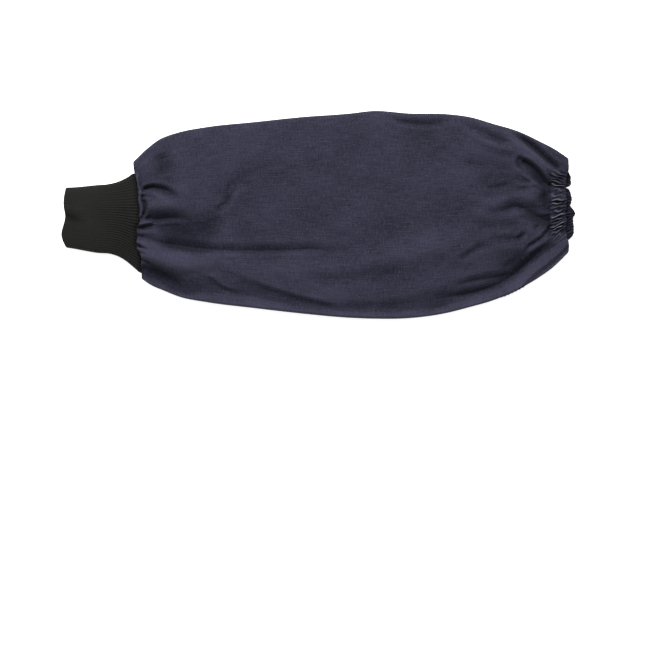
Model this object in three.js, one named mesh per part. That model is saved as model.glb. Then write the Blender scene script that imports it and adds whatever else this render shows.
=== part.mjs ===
// A protective work sleeve lying flat: a denim tube with a rib-knit cuff and an elasticated hem.
// Millimetres, +Z up. X runs along the sleeve from the cuff to the hem, and the sleeve rests on z = 0.
import * as THREE from "three";
import { LoftGeometry } from "three/addons/geometries/LoftGeometry.js";

const { clamp, smoothstep } = THREE.MathUtils;

// Driving dimensions
const CUFF_END_X = -228.5;
const SEAM_X = -163;
const STITCH_X = 206.8;
const HEM_EDGE_X = 220.3;
const DENIM_WALL = 1.3;
const CASING_WALL = 2.8;
const KNIT_WALL = 2.4;
const SEAM_LAP = 6;
const SEAM_CLEARANCE = 0.8;
const CASING_GAP = 0.4;

// The cuff seam runs a little askew, and in the middle the hem's lower layer reaches out past the upper one.
const SEAM_LEAN = 0.05;
const SEAM_LEAN_REACH = 50;
const HEM_LOWER_REACH = 9.2;
const HEM_UPPER_REACH = 2;
const HEM_REACH_START_X = 145;
const HEM_MIDDLE_Y = -6;
const HEM_HALF_WIDTH = 36;
const HEM_SIDE_HEIGHT = 7.5;

// How the flattened tube rounds off from its side edges to the crown and to the floor
const CROWN_FULLNESS = 0.7;
const UNDERSIDE_SQUARENESS = 0.35;
const UNDERSIDE_FLATNESS = 1.06;

// Small repeated relief
const CUFF_RIBS = 84;
const RIB_HEIGHT = 0.4;
const HEM_GATHERS = 52;
const HEM_GATHER_HEIGHT = 1.5;
const BODY_POINTS_AROUND = 58;
const CUFF_PLEATS = { count: 20, height: 1.6, reach: 14 };
const HEM_PLEATS = { count: 20, height: 1.4, reach: 20 };

// Half widths towards +Y (far) and -Y (near), and heights of the crown, the side edges and the underside
const CUFF_ROWS = [
  { x: -228.5, far: 24.4, near: 29.0, crown: 14.0, edge: 6.4, floor: 0 },
  { x: -218, far: 24.7, near: 30.2, crown: 14.2, edge: 6.5, floor: 0 },
  { x: -197, far: 26.6, near: 33.8, crown: 14.5, edge: 6.6, floor: 0 },
  { x: -186, far: 27.5, near: 34.8, crown: 15.0, edge: 6.8, floor: 0.2 },
  { x: -175, far: 30.6, near: 40.0, crown: 15.6, edge: 7.2, floor: 1.2 },
  { x: -167, far: 35.2, near: 46.5, crown: 16.6, edge: 7.6, floor: 2.0 },
  { x: -163, far: 38.2, near: 50.4, crown: 17.2, edge: 7.8, floor: 2.2 },
  { x: -156, far: 38.2, near: 50.4, crown: 17.2, edge: 7.8, floor: 2.2 },
];
const BODY_ROWS = [
  { x: -162.4, far: 44.6, near: 54.5, crown: 20.0, edge: 7.8, floor: 0 },
  { x: -157, far: 51.5, near: 60.2, crown: 21.6, edge: 7.6, floor: 0 },
  { x: -150, far: 59.2, near: 64.2, crown: 22.4, edge: 7.4, floor: 0 },
  { x: -140, far: 65.4, near: 68.2, crown: 22.8, edge: 7.2, floor: 0 },
  { x: -125, far: 72.3, near: 72.9, crown: 23.0, edge: 7.0, floor: 0 },
  { x: -100, far: 78.0, near: 77.6, crown: 23.0, edge: 7.0, floor: 0 },
  { x: -58, far: 82.4, near: 82.8, crown: 23.0, edge: 7.0, floor: 0 },
  { x: -15, far: 86.9, near: 87.7, crown: 23.0, edge: 7.0, floor: 0 },
  { x: 27, far: 90.0, near: 91.4, crown: 23.0, edge: 7.0, floor: 0 },
  { x: 48, far: 92.3, near: 92.2, crown: 23.0, edge: 7.0, floor: 0 },
  { x: 80, far: 90.0, near: 91.7, crown: 23.0, edge: 7.0, floor: 0 },
  { x: 112, far: 89.5, near: 87.3, crown: 22.5, edge: 7.0, floor: 0 },
  { x: 133, far: 86.9, near: 82.0, crown: 22.0, edge: 7.0, floor: 0 },
  { x: 155, far: 80.6, near: 75.6, crown: 21.0, edge: 7.0, floor: 0 },
  { x: 176, far: 74.4, near: 66.4, crown: 19.5, edge: 7.0, floor: 0 },
  { x: 197, far: 64.6, near: 54.2, crown: 17.5, edge: 7.2, floor: 0 },
  { x: 206.8, far: 59.8, near: 47.2, crown: 16.5, edge: 7.5, floor: 0 },
  { x: 220.3, far: 51.0, near: 34.4, crown: 15.5, edge: 7.5, floor: 0 },
];

// Folds of the body's top layer, as runs that bow sideways: a valley's rise is negative, a puff's is positive.
// They fade out just before the hem's stitching, and over the cuff's sewn edge inside the body.
const FOLD_FADE = 9;
const BODY_FOLDS = [
  { from: [-159, -20], to: [61, -30], bow: -3, width: 6, rise: -4, fadeIn: 0, fadeOut: 0.9 },
  { from: [-161, -31], to: [-117, -62], bow: 2, width: 7, rise: -5, fadeIn: 0, fadeOut: 0.5 },
  { from: [-114, -61], to: [16, -86], bow: 4, width: 5.5, rise: -4, fadeIn: 0.3, fadeOut: 0.5 },
  { from: [-156, 22], to: [-118, 18], bow: 5, width: 5, rise: -4, fadeIn: 0.1, fadeOut: 0.6 },
  { from: [-158, -7], to: [-110, -6], bow: 4, width: 5, rise: -4, fadeIn: 0, fadeOut: 0.7 },
  { from: [-152, 9], to: [-112, 9], bow: 0, width: 9, rise: 3, fadeIn: 0.3, fadeOut: 0.8 },
  { from: [-140, 51], to: [-130, 51], bow: 0, width: 8, rise: -3, fadeIn: 0.3, fadeOut: 0.3 },
  { from: [64, 86], to: [118, 77], bow: -2, width: 6, rise: -2, fadeIn: 0.4, fadeOut: 0.4 },
  { from: [121, 84], to: [212, 34], bow: 3, width: 7, rise: 2.5, fadeIn: 0.4, fadeOut: 0.2 },
  { from: [165, 75], to: [216, 39], bow: 1, width: 4, rise: -3, fadeIn: 0.5, fadeOut: 0.1 },
  { from: [177, 51], to: [206, 27], bow: 1, width: 6.5, rise: -4, fadeIn: 0.3, fadeOut: 0.1 },
  { from: [150, 5], to: [204, -1], bow: 8, width: 5, rise: -4, fadeIn: 0.5, fadeOut: 0.1 },
  { from: [184, -19], to: [201, -10], bow: 0, width: 4, rise: -3, fadeIn: 0.3, fadeOut: 0.1 },
  { from: [106, -67], to: [204, -22], bow: -6, width: 6.5, rise: -5, fadeIn: 0.5, fadeOut: 0.1 },
];
const CUFF_FOLDS = [
  { from: [-226, -2], to: [-203, -7], bow: 0, width: 2.5, rise: -1, fadeIn: 0, fadeOut: 0.8 },
];

// How far the cuff's folded end stands back from its longest place, across the width
const CUFF_END_WAVE = [
  { y: -29, back: 3.2 },
  { y: -20, back: 0 },
  { y: -2, back: 3.2 },
  { y: 10, back: 1.8 },
  { y: 25, back: 3.4 },
];
const CUFF_END_WAVE_REACH = 16;

// Where the cross-sections are taken, closer together at the gathered ends
const BODY_STATIONS = [
  -162.4, -159, -154, -149, -143, -136, -128, -119, -109, -98, -85, -70, -53, -35, -16, 4, 24, 44, 62, 80, 97,
  112, 125, 137, 148, 158, 167, 175, 182, 188, 193, 198, 203, STITCH_X,
];
const LINING_STATIONS = [
  -159.5, -154, -149, -143, -136, -119, -98, -70, -35, 4, 44, 80, 112, 137, 158, 167, 175, 182, 188, 193, 198,
  203, STITCH_X,
];
const CUFF_STATIONS = [-227.3, -215, -190, -173, SEAM_X, SEAM_X + SEAM_LAP];
const CUFF_LINING_STATIONS = [-227.3, -190, SEAM_X + SEAM_LAP];
const CASING_STATIONS = [STITCH_X + CASING_GAP, 210.5, 216, 219.4];
const CASING_LINING_STATIONS = [STITCH_X + CASING_GAP, 213.5, 219.4];

// A smooth run of values through a table's rows, looked up by the row's place
function smoothTable(rows, place) {
  const columns = Object.keys(rows[0]).filter((name) => name !== place);
  const places = rows.map((row) => row[place]);
  const values = rows.flatMap((row) => columns.map((name) => row[name]));
  const curve = new THREE.CubicInterpolant(places, values, columns.length);
  return (at) => {
    const found = curve.evaluate(at);
    return Object.fromEntries(columns.map((name, index) => [name, found[index]]));
  };
}

// The cross-section of a tube lying flat: an arched top layer, round side edges and a flat underside
class FlatTubeSection extends THREE.Curve {
  constructor({ far, near, crown, edge, floor }) {
    super();
    this.middle = (far - near) / 2;
    this.half = (far + near) / 2;
    this.crown = crown;
    this.edge = edge;
    this.floor = Math.max(floor, 0);
    this.arcLengthDivisions = 400;
  }

  // Runs from the middle of the underside over the +Y edge, the crown and the -Y edge
  getPoint(share, target = new THREE.Vector3()) {
    const angle = share * 2 * Math.PI;
    const upward = -Math.cos(angle);
    const arch = (this.crown - this.edge) * Math.max(upward, 0) ** CROWN_FULLNESS;
    const drop = UNDERSIDE_FLATNESS * Math.max(-upward, 0) ** UNDERSIDE_SQUARENESS;
    const depth = (this.edge - this.floor) * Math.min(drop, 1);
    return target.set(0, this.middle + this.half * Math.sin(angle), this.edge + arch - depth);
  }

  // 0 at the side edges and below, 1 over most of the top layer
  topShare(height) {
    return smoothstep((height - this.edge) / (this.crown - this.edge), 0, 0.3);
  }

  // 0 where the cloth rests on the floor, 1 clear of it
  clearShare(height) {
    return smoothstep(height - this.floor, 0.5, 5);
  }
}

// The skew of the cuff seam and the uneven reach of the hem's two layers
function leaned(x, y, z) {
  const seamShare = 1 - smoothstep(Math.abs(x - SEAM_X), 0, SEAM_LEAN_REACH);
  const hemShare = smoothstep(x, HEM_REACH_START_X, STITCH_X);
  const across = clamp((y - HEM_MIDDLE_Y) / HEM_HALF_WIDTH, -1, 1);
  const reach = z < HEM_SIDE_HEIGHT ? HEM_LOWER_REACH : HEM_UPPER_REACH;
  const hemReach = reach * (1 - z / HEM_SIDE_HEIGHT) * (1 - across ** 2) ** 2;
  return new THREE.Vector3(x - SEAM_LEAN * y * seamShare + hemReach * hemShare, y, z);
}

// How far one fold lifts the cloth at a point
function foldRise({ from, to, bow, width, rise, fadeIn, fadeOut }, x, y) {
  const runX = to[0] - from[0];
  const runY = to[1] - from[1];
  const length = Math.hypot(runX, runY);
  const share = ((x - from[0]) * runX + (y - from[1]) * runY) / length ** 2;
  const inside = clamp(share, 0, 1);
  const across = ((y - from[1]) * runX - (x - from[0]) * runY) / length - 4 * bow * inside * (1 - inside);
  const distance = Math.hypot(across, (share - inside) * length) / width;
  const startFade = fadeIn > 0 ? smoothstep(share, 0, fadeIn) : 1;
  const endFade = 1 - smoothstep(share, 1 - fadeOut, 1);
  const shoulder = 0.35 * Math.exp(-((distance - 2) ** 2));
  return rise * startFade * endFade * (Math.exp(-(distance ** 2)) - shoulder);
}

// Pleats spreading from a gathered edge, lower with the distance from it
function pleatHeight({ count, height, reach }, turn, distance) {
  const wander = 0.35 * Math.sin(6 * Math.PI * turn) + 0.2 * Math.sin(14 * Math.PI * turn);
  const wave = 0.5 - 0.5 * Math.cos(2 * Math.PI * (count * turn + wander));
  return height * wave * Math.exp(-Math.abs(distance) / reach);
}

// One ring of points: a flat cross-section, folded, set in by the wall and raised by its relief
function ring({ x, section, folds = [], inset = 0, relief = () => 0, endShift = () => 0, around }) {
  const points = [];
  for (let step = 0; step < around; step += 1) {
    const turn = step / around;
    const base = section.getPointAt(turn);
    const along = section.getTangentAt(turn);
    const normal = new THREE.Vector3(0, along.z, -along.y);
    const place = leaned(x, base.y, base.z);
    const rises = folds.map((fold) => foldRise(fold, place.x, place.y));
    const fromSeam = smoothstep(Math.abs(x - SEAM_X) - SEAM_LAP, 0, FOLD_FADE);
    const fromStitch = smoothstep(STITCH_X - x, 0, FOLD_FADE);
    const foldShare = section.topShare(base.z) * fromSeam * fromStitch;
    const folded = foldShare * rises.reduce((sum, rise) => sum + rise, 0);
    const raised = section.clearShare(base.z) * relief(turn, base);
    const point = base.clone().addScaledVector(normal, folded + raised - inset);
    points.push(leaned(x + endShift(point), point.y, Math.max(point.z, section.floor)));
  }
  return points;
}

// A closed wall of cloth: its outer rings from end to end, then its inner rings back to the start
function clothWall(outerRings, innerRings) {
  return new LoftGeometry([...outerRings, ...innerRings.toReversed(), outerRings[0]]);
}

const cuffTable = smoothTable(CUFF_ROWS, "x");
const bodyTable = smoothTable(BODY_ROWS, "x");
const cuffEndTable = smoothTable(CUFF_END_WAVE, "y");
const cuffSection = (x) => new FlatTubeSection(cuffTable(x));
const bodySection = (x) => new FlatTubeSection(bodyTable(x));

// The denim body, with a lip at the seam that closes round the cuff
function sleeveBody() {
  const around = BODY_POINTS_AROUND;
  const seam = cuffTable(SEAM_X);
  const lip = new FlatTubeSection({
    far: seam.far + SEAM_CLEARANCE,
    near: seam.near + SEAM_CLEARANCE,
    crown: seam.crown + SEAM_CLEARANCE,
    edge: seam.edge,
    floor: seam.floor - SEAM_CLEARANCE,
  });
  const pleats = (x) => (turn) =>
    pleatHeight(CUFF_PLEATS, turn, x - SEAM_X) + pleatHeight(HEM_PLEATS, turn, STITCH_X - x);
  const outerRing = (x) =>
    ring({ x, section: bodySection(x), folds: BODY_FOLDS, relief: pleats(x), around });
  const innerRing = (x) =>
    ring({ x, section: bodySection(x), folds: BODY_FOLDS, inset: DENIM_WALL, around });
  const outer = [ring({ x: SEAM_X, section: lip, around }), ...BODY_STATIONS.map(outerRing)];
  const inner = [ring({ x: SEAM_X + DENIM_WALL, section: lip, around }), ...LINING_STATIONS.map(innerRing)];
  return clothWall(outer, inner);
}

// The rib-knit cuff, doubled over at its free end, with its sewn edge inside the body
function knitCuff() {
  const around = 2 * CUFF_RIBS;
  const ribs = (turn) => RIB_HEIGHT * (0.5 - 0.5 * Math.cos(2 * Math.PI * CUFF_RIBS * turn));
  const endShift = (x) => (point) => {
    const share = 1 - smoothstep(x - CUFF_END_X, 0, CUFF_END_WAVE_REACH);
    return share * cuffEndTable(point.y).back;
  };
  const cuffRing = (x, inset, relief) =>
    ring({ x, section: cuffSection(x), folds: CUFF_FOLDS, inset, relief, endShift: endShift(x), around });
  const outer = CUFF_STATIONS.map((x) => cuffRing(x, 0, ribs));
  const inner = CUFF_LINING_STATIONS.map((x) => cuffRing(x, KNIT_WALL, ribs));
  const fold = cuffRing(CUFF_END_X, KNIT_WALL / 2, () => 0);
  return clothWall([fold, ...outer], inner);
}

// The turned hem round the elastic, drawn up into small gathers across the middle of both layers
function elasticHem() {
  const around = 2 * HEM_GATHERS;
  const section = bodySection(HEM_EDGE_X);
  const gathers = (turn, base) => {
    const fromMiddle = Math.abs(base.y - section.middle) / section.half;
    const wave = 0.5 - 0.5 * Math.cos(2 * Math.PI * HEM_GATHERS * turn);
    return HEM_GATHER_HEIGHT * wave * (1 - smoothstep(fromMiddle, 0.65, 1));
  };
  const casingRing = (x, inset, relief) => ring({ x, section: bodySection(x), inset, relief, around });
  const outer = CASING_STATIONS.map((x) => casingRing(x, 0, gathers));
  const inner = CASING_LINING_STATIONS.map((x) => casingRing(x, CASING_WALL, () => 0));
  const edge = casingRing(HEM_EDGE_X, CASING_WALL / 2, () => 0);
  return clothWall([...outer, edge], inner);
}

// Colours and finishes
const denim = new THREE.MeshStandardMaterial({ color: 0x3a3948, roughness: 0.9, metalness: 0 });
const ribKnit = new THREE.MeshStandardMaterial({ color: 0x272826, roughness: 0.95, metalness: 0 });
denim.name = "denim";
ribKnit.name = "rib_knit";

// A named piece of the sleeve
function piece(name, geometry, material) {
  const mesh = new THREE.Mesh(geometry, material);
  mesh.name = name;
  return mesh;
}

const sleeve = new THREE.Group();
sleeve.name = "protective_sleeve";
sleeve.add(piece("sleeve_body", sleeveBody(), denim));
sleeve.add(piece("knit_cuff", knitCuff(), ribKnit));
sleeve.add(piece("elastic_hem", elasticHem(), denim));

export default sleeve;
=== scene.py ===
import math
from typing import NamedTuple

import bmesh
import bpy
import numpy as np
from mathutils import Matrix, Vector


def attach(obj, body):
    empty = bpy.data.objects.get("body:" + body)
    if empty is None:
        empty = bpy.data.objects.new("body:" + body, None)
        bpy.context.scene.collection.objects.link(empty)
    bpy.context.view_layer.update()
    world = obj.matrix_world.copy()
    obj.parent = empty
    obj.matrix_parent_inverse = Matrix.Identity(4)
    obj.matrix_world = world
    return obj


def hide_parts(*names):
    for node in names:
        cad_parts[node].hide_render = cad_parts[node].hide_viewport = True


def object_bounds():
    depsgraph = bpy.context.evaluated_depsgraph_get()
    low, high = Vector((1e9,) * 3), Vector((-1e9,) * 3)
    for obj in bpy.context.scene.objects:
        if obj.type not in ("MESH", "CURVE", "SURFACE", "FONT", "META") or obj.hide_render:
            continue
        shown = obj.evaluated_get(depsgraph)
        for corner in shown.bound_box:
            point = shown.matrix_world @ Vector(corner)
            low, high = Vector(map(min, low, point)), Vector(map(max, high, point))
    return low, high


bl_info = {
    "name": "Protective Sleeve",
    "version": (1, 0, 0),
    "blender": (4, 5, 0),
    "location": "3D View > Sidebar > Sleeve",
    "description": "Builds a denim work sleeve with a rib-knit cuff and an elastic hem, lying flat",
    "category": "Object",
}

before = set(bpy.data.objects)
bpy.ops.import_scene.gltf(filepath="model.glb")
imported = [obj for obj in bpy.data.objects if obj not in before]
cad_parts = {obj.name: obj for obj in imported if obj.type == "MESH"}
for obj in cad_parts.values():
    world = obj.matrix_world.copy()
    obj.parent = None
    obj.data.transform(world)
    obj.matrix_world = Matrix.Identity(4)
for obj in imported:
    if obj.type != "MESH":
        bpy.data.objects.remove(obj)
CAD_LOW, CAD_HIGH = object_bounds()

# Sizes are in millimetres of the sleeve lying flat, and the frame's own length sets the scale
SLEEVE_LENGTH = 457.15
MM = (CAD_HIGH.x - CAD_LOW.x) / SLEEVE_LENGTH

# No length is divided by less than this
TINY = 1e-9
# Points closer than this, in metres, are joined
MERGE_DISTANCE = 1e-6

# Places along the sleeve: the cuff's free end, the cuff seam, the hem's stitching and the hem's edge
CUFF_END_X = -228.5
SEAM_X = -163.0
STITCH_X = 204.5
HEM_EDGE_X = 220.3
# The hem's cloth starts just past its stitching
HEM_START = 0.02
# How far the cuff goes in under the denim, and how long the rounding of its free end is
CUFF_LAP = 4.0
CUFF_END_ROUNDING = 1.2
# The body starts a little past the seam with a lip that turns in to the cuff. It lies over the cuff
# by a margin for each column of a section: far, near, crown, edge and floor
BODY_START = 0.6
LIP_LENGTH = 0.8
LIP_RINGS = 5
LIP_MARGIN = (0.6, 0.6, 0.6, 0.0, -1.0)
# The body's rings lie closer together towards both of its ends, and its inner face has fewer of them
RING_CROWDING = 0.12
INNER_RING_STEP = 3
# The knit sinks a little where it goes in under the denim, and is painted darker there as shade
SEAM_SINK_AND_SHADE = 1.4
SEAM_SINK_REACH = 3.0

# The cuff seam runs a little askew
SEAM_LEAN = 0.05
SEAM_LEAN_REACH = 50.0

# Towards the hem the lower layer runs out past the upper one, and the upper one is drawn back
HEM_REACH_START_X = 145.0
HEM_SIDE_HEIGHT = 7.5
HEM_DRAWN_BACK = 0.6

# How the flattened tube rounds off from its side edges to the crown and to the floor
CROWN_FULLNESS = 0.48
UNDERSIDE_SQUARENESS = 0.35
UNDERSIDE_FLATNESS = 1.06
# Fine steps round the tube for measuring along it, and the step that lies on the -Y edge
ROUND_STEPS = 720
NEAR_EDGE_STEP = ROUND_STEPS * 3 // 4

# The top layer is full at this share of the way up to the crown, and folds sooner
TOP_FULL = 0.3
FOLDS_FULL = 0.2
# The two layers stay this far apart where folds press the upper one down
LAYER_GAP = 4.5
# Ridges that meet rise no higher than this together
FOLD_LIMIT = 4.5
# A fold has a shoulder of the other sign at this many widths from its line, and ends after so many
FOLD_SHOULDER = 0.3
FOLD_SHOULDER_PLACE = 2.1
FOLD_END = 5.0
# A fold's line is followed in so many steps for each of its points
PATH_STEPS = 6
# Folds flatten out on this length before the hem's edge
FOLD_FADE_AT_HEM = 6.0

# The gathers at the hem fade between two distances from their middle and are faint further out
HEM_GATHERED_MIDDLE = 8.0
HEM_GATHERED_FADE = (24.0, 34.0)
HEM_FAINT_SHARE = 0.06

# The side seam runs below the -Y edge, and comes up over it towards the hem
SIDE_SEAM_DROP = 6.0
SIDE_SEAM_DROP_AT_HEM = -9.0
SIDE_SEAM_RISE_X = (155.0, 196.0)
SIDE_SEAM_WIDTH = 4.6
SIDE_SEAM_FLANK = 0.9
SIDE_SEAM_HEIGHT = 0.55
SIDE_SEAM_SHADE = 6.5
# Its two rows of stitches lie this far from its middle, and start and end this far from its ends
SEAM_ROW_OFFSET = 1.6
SEAM_ROW_START = 8.0
SEAM_ROW_END = 3.0
STITCH_LENGTH = 2.3
STITCH_PITCH = 3.2
STITCH_THICKNESS = 0.6
STITCH_SIDES = 6
# Each end of a stitch takes up this share of its length and gets thinner by this factor. Its end faces
# are those that face along it by this much
STITCH_TIP = 0.25
STITCH_THINNING = 0.5
STITCH_END_FACING = 0.9
# The seam lies between these shares of the way round, which are looked through in fine steps
SEAM_TURNS = (0.68, 0.84)
SEAM_TURN_STEPS = 640
SEAM_SIDE_STEPS = 4

# The cuff's ribs are faint at its free end and on its far side, and grow between these places
RIB_FAINT_SHARE = 0.12
RIB_GROWTH_X = (-202, -170)
RIB_FAR_SHARE = 0.5
RIB_FAR_Y = (4, 16)
RIB_FULLNESS = 0.8
# Painted shade: the colour of the rib grooves darkens by this many times their depth
RIB_SHADE = 2
RIB_POINTS = 8

# The denim panel and the knit tube before they were sewn, in metres: round the arm, and along it
PANEL_GIRTH = 0.376
CUFF_GIRTH = 0.14

# The stage, in metres: the floor just below the sleeve, the large light and the camera
FLOOR_SIZE = 12.0
FLOOR_DROP = 0.0002
KEY_PLACE = (-0.7, 2.0, 2.7)
KEY_WIDTH = 2.3
KEY_HEIGHT = 1.35
CAMERA_X = 0.0027
CAMERA_Y = -0.0955
# The width of the camera's sensor, in millimetres
CAMERA_SENSOR = 36.0
# The view's width is measured at the height of the sleeve's side edges
VIEW_HEIGHT = 0.008
WHITE = (1.0, 1.0, 1.0, 1.0)


class Section(NamedTuple):
    """A cross-section of the flat tube.

    It has half widths to +Y and -Y, and heights of the crown, the side edges and the underside."""

    x: float
    far: float
    near: float
    crown: float
    edge: float
    floor: float = 0.0


# The columns of a table of sections when it is read at places along it
FAR, NEAR, CROWN, EDGE, FLOOR = range(len(Section._fields) - 1)


class Rim(NamedTuple):
    """The flat rim that the seam allowance holds up inside the -Y edge.

    It has a width, a run in which the cloth rises from it, the height of its inner side above the edge,
    and a rise of its outer side."""

    x: float
    width: float
    run: float
    low: float
    rise: float


class Reach(NamedTuple):
    """How far an edge stands back or runs out, at a place across the sleeve."""

    y: float
    reach: float


class Fold(NamedTuple):
    """A fold of the top layer along a smooth line through points.

    A valley has a negative rise, a puff a positive one. A fold with a skew is steeper on its left side,
    and one with a spread gets wider towards its end. A crisp of 2 makes it round, one of 1 sharp."""

    path: tuple
    width: float
    rise: float
    spread: float = 1.0
    skew: float = 0.0
    fade_in: float = 0.3
    fade_out: float = 0.4
    crisp: float = 1.25


class Gathers(NamedTuple):
    """A band of gathers from a sewn edge: how many go round it, how deep, and how far they reach."""

    count: int
    depth: float
    reach: float
    phase: float


class Wave(NamedTuple):
    """A wave round the sleeve: its size, how many go round, and the share of one at which it starts."""

    size: float
    count: int
    start: float


CUFF_SECTIONS = (
    Section(-228.5, 24.4, 29.0, 14.0, 6.4),
    Section(-218, 24.7, 30.2, 14.2, 6.5),
    Section(-197, 26.6, 33.8, 14.5, 6.6),
    Section(-186, 27.5, 34.8, 14.6, 6.8, 0.2),
    Section(-175, 30.6, 40.0, 14.4, 7.0, 1.2),
    Section(-167, 35.2, 48.6, 13.6, 7.0, 2.0),
    Section(-163, 38.2, 53.2, 12.6, 7.0, 2.2),
    Section(-156, 38.2, 53.2, 9.0, 6.0, 2.2),
)
BODY_SECTIONS = (
    Section(-162.4, 48.4, 58.5, 18.5, 7.8),
    Section(-157, 53.2, 61.0, 19.5, 7.6),
    Section(-150, 59.6, 63.9, 20.0, 7.4),
    Section(-140, 67.3, 67.5, 20.0, 7.2),
    Section(-125, 73.2, 72.8, 19.5, 7.0),
    Section(-100, 78.0, 77.6, 19.0, 7.0),
    Section(-58, 82.4, 82.8, 19.0, 7.0),
    Section(-15, 86.9, 87.7, 19.0, 7.0),
    Section(27, 90.0, 91.4, 19.0, 7.0),
    Section(48, 92.3, 92.2, 19.0, 7.0),
    Section(80, 90.0, 91.7, 19.0, 7.0),
    Section(112, 89.5, 87.3, 19.0, 7.0),
    Section(133, 86.9, 82.0, 19.0, 7.0),
    Section(155, 80.6, 75.6, 18.7, 7.0),
    Section(176, 74.4, 66.4, 17.6, 7.0),
    Section(197, 64.6, 54.2, 16.0, 7.2),
    Section(206.8, 59.8, 47.2, 15.2, 7.5),
    Section(220.3, 51.0, 34.4, 14.5, 7.5),
)
NEAR_RIM = (
    Rim(-163, 5.0, 8.0, 8.0, 0.5),
    Rim(-146, 8.0, 15.0, 3.2, 3.0),
    Rim(-131, 4.5, 19.0, 2.4, 2.5),
    Rim(-119, 3.0, 16.0, 1.8, 2.2),
    Rim(-106, 7.3, 15.0, 5.0, 3.0),
    Rim(-62, 9.9, 14.0, 5.4, 3.2),
    Rim(-26, 7.0, 9.5, 6.0, 3.0),
    Rim(9, 6.0, 7.5, 6.6, 2.6),
    Rim(71, 6.5, 14.0, 6.8, 2.4),
    Rim(116, 6.5, 21.0, 2.5, 4.0),
    Rim(142, 9.5, 22.0, 1.1, 5.0),
    Rim(163, 9.0, 23.0, 0.0, 6.0),
    Rim(187, 15.0, 17.0, 0.6, 6.0),
    Rim(201, 18.0, 12.0, 2.0, 5.0),
    Rim(221, 16.0, 8.0, 5.0, 2.0),
)
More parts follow.
